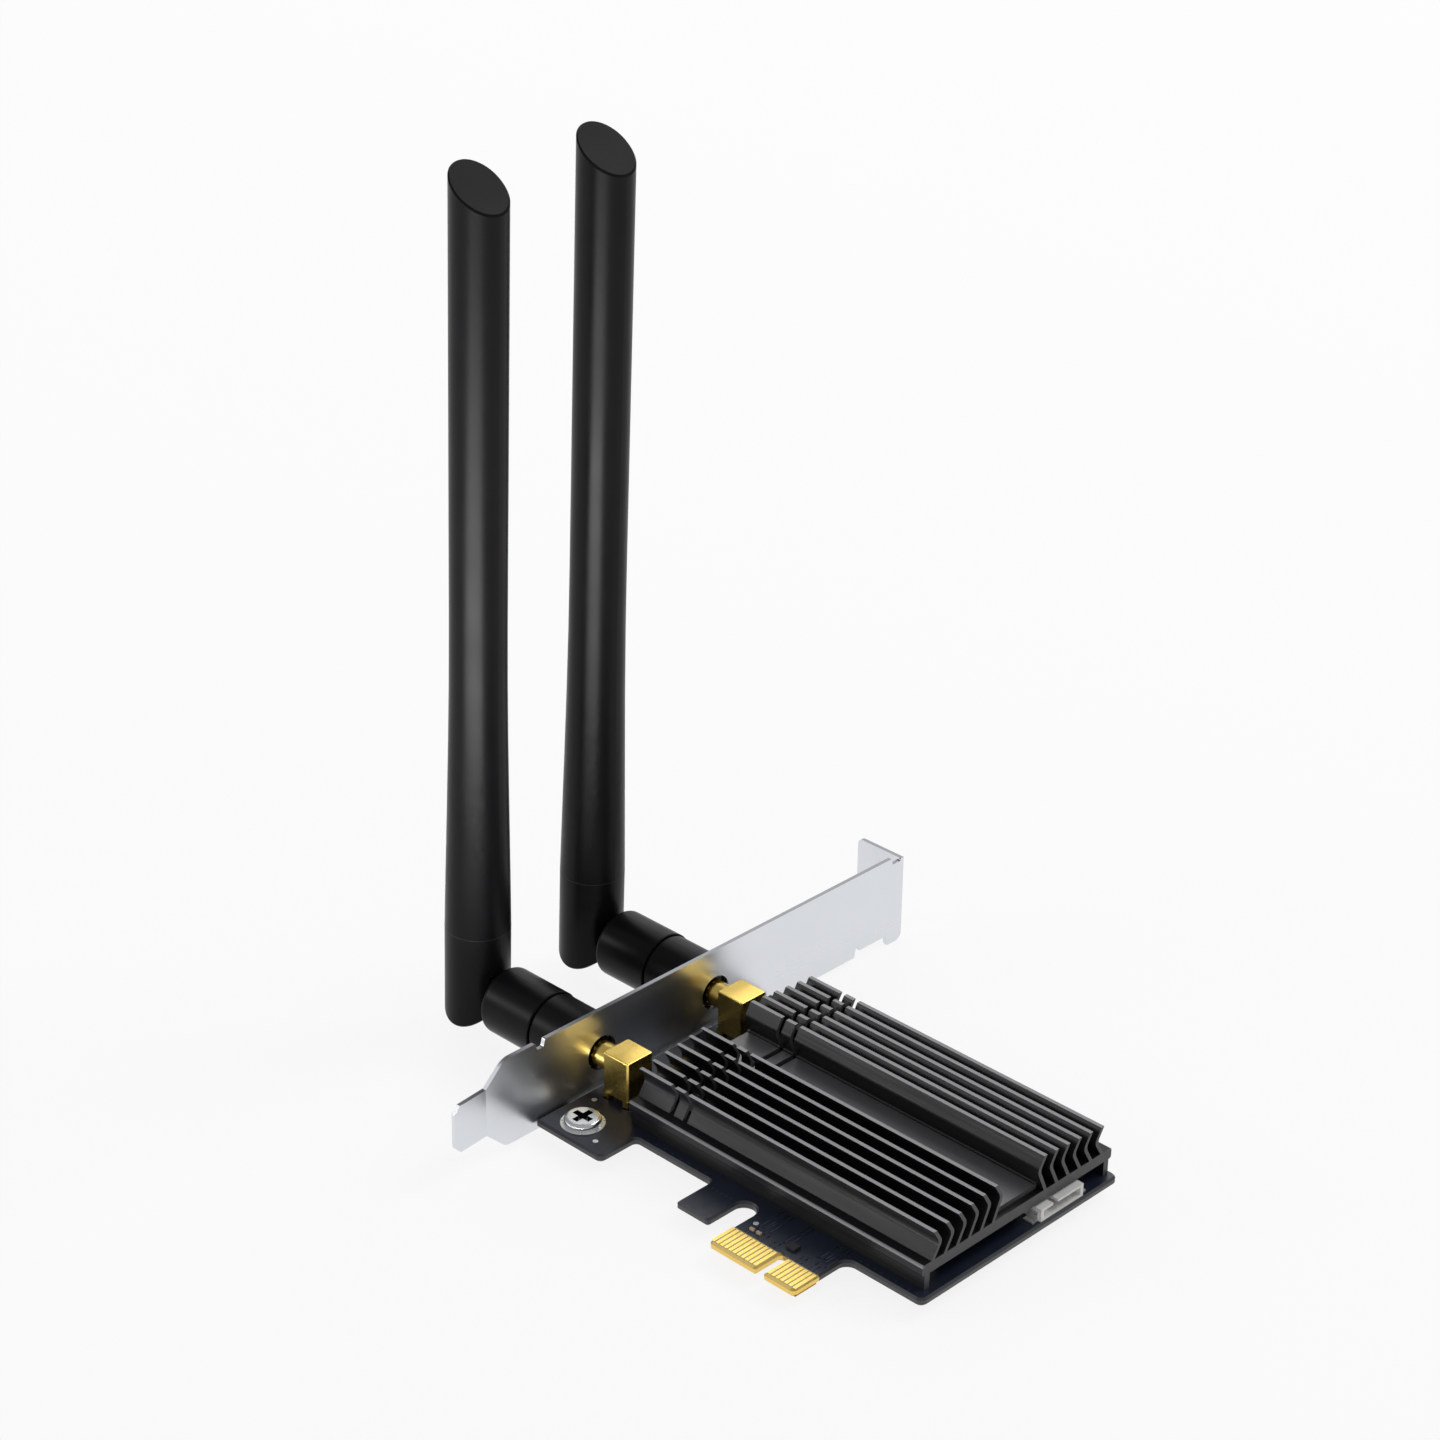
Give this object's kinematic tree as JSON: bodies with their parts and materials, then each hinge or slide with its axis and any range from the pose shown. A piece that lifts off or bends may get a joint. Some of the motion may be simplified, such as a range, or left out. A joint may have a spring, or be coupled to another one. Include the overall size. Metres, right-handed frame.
{
  "type": "pcie wifi card",
  "caption": "Expansion-slot wireless card with a steel slot bracket, gold edge connector, black finned heatsink and screw-on elbow antennas that fold and swivel.",
  "frame": {"origin": "middle of the key notch on the mating edge of the board, half way through its thickness", "axes": "+X along the card from the slot bracket to the far end, +Y from the mating edge towards the bracket's screw tab, +Z out of the component side, the way the antennas stand"},
  "size_m": [0.1269, 0.12, 0.1738],
  "materials": {
    "board": "dark navy solder mask over glass laminate, satin",
    "gold": "gold plated, polished",
    "bracket": "nickel-plated folded steel, mirror-like",
    "screw": "nickel-plated steel, bright",
    "heatsink": "black anodised extrusion with bare machined edges",
    "antenna": "black moulded plastic, fine satin",
    "grip": "black moulded plastic, smooth satin",
    "white_insulator": "white fluoropolymer, matt",
    "steel": "plain steel, satin",
    "tin": "tinned copper alloy, bright",
    "pad": "soft blue-grey silicone, matt",
    "chip": "black moulding compound, matt",
    "ceramic_part": "pale brown fired ceramic with tinned ends",
    "inductor": "dark grey pressed ferrite, matt",
    "header_housing": "white moulded plastic, satin",
    "module_board": "dark green solder mask, satin",
    "element_board": "bare laminate with printed copper, matt",
    "coax": "black jacket, matt"
  },
  "bodies": {
    "card": {"circuit_board": "board", "edge_contacts": "gold", "slot_bracket": "bracket", "bracket_screws": "screw", "ground_rings": "tin", "heatsink": "heatsink", "heatsink_spacers": "steel", "heatsink_screws": "steel", "radio_module_board": "module_board", "radio_chip": "chip", "shield_can": "tin", "thermal_pad": "pad", "cable_header": "header_housing", "header_contacts": "tin", "header_tabs": "tin", "coupling_capacitors": "ceramic_part", "level_shifter": "chip", "bulk_capacitors": "ceramic_part", "resistors": "chip", "power_inductor": "inductor", "power_regulator": "chip", "clock_crystal": "tin", "near_jack_body": "gold", "near_jack_insulator": "white_insulator", "near_jack_contact": "gold", "near_jack_washer": "steel", "near_jack_nut": "gold", "near_plug_body": "gold", "near_plug_insulator": "white_insulator", "near_plug_contact": "gold", "far_jack_body": "gold", "far_jack_insulator": "white_insulator", "far_jack_contact": "gold", "far_jack_washer": "steel", "far_jack_nut": "gold", "far_plug_body": "gold", "far_plug_insulator": "white_insulator", "far_plug_contact": "gold"},
    "near_grip": {"near_collar": "grip", "near_coupling_nut": "gold"},
    "near_swivel": {"near_swivel_barrel": "antenna"},
    "near_antenna": {"near_hinge_pin": "steel", "near_antenna_foot": "antenna", "near_antenna_tube": "antenna", "near_antenna_element": "element_board", "near_feed_cable": "coax"},
    "far_grip": {"far_collar": "grip", "far_coupling_nut": "gold"},
    "far_swivel": {"far_swivel_barrel": "antenna"},
    "far_antenna": {"far_hinge_pin": "steel", "far_antenna_foot": "antenna", "far_antenna_tube": "antenna", "far_antenna_element": "element_board", "far_feed_cable": "coax"}
  },
  "joints": [
    {"name": "near_grip_turn", "type": "hinge", "parent": "card", "child": "near_grip", "pos_m": [-0.061, 0.0215, 0.0073], "axis": [1, 0, 0], "continuous": true},
    {"name": "near_swivel_turn", "type": "hinge", "parent": "card", "child": "near_swivel", "pos_m": [-0.061, 0.0215, 0.0073], "axis": [1, 0, 0], "range_deg": [-3, 180]},
    {"name": "near_elbow", "type": "hinge", "parent": "near_swivel", "child": "near_antenna", "pos_m": [-0.0951, 0.0215, 0.0073], "axis": [0, 1, 0], "range_deg": [-91.8, 0]},
    {"name": "far_grip_turn", "type": "hinge", "parent": "card", "child": "far_grip", "pos_m": [-0.061, 0.0514, 0.0073], "axis": [1, 0, 0], "continuous": true},
    {"name": "far_swivel_turn", "type": "hinge", "parent": "card", "child": "far_swivel", "pos_m": [-0.061, 0.0514, 0.0073], "axis": [1, 0, 0], "range_deg": [-180, 3]},
    {"name": "far_elbow", "type": "hinge", "parent": "far_swivel", "child": "far_antenna", "pos_m": [-0.0951, 0.0514, 0.0073], "axis": [0, 1, 0], "range_deg": [-91.8, 0]}
  ]
}
